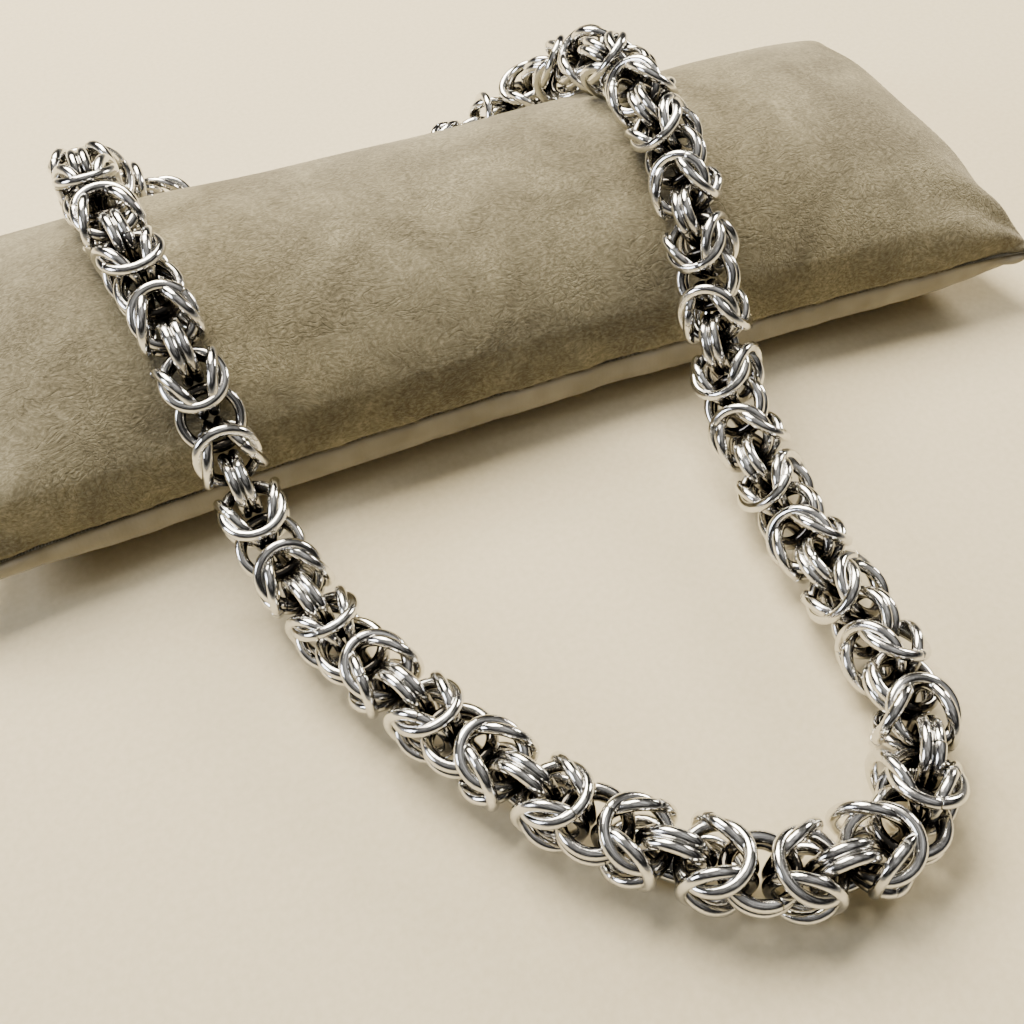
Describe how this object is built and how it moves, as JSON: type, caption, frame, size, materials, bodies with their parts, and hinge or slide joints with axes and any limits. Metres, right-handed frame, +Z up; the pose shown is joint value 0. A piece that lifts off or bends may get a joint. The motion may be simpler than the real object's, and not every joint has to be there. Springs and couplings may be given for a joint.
{
  "type": "byzantine chain necklace on a display pillow",
  "caption": "Chunky byzantine-weave chain necklace of round jump rings, laid as a whole loop over a stuffed fabric display pillow.",
  "frame": {"origin": "on the floor plane under the middle of the whole outline", "axes": "+X along the pillow, +Y from the front of the loop to the back of the pillow, +Z up"},
  "size_m": [0.196, 0.1748, 0.0444],
  "materials": {
    "ring_metal": "polished silver-coloured steel wire",
    "clasp_metal": "polished silver-coloured steel",
    "cover_fabric": "soft brushed suede cloth",
    "base_fabric": "paler plain cloth underside"
  },
  "bodies": {
    "root": {"chain": "ring_metal", "clasp": "clasp_metal", "pillow_cover": "cover_fabric", "pillow_base": "base_fabric"}
  },
  "joints": []
}
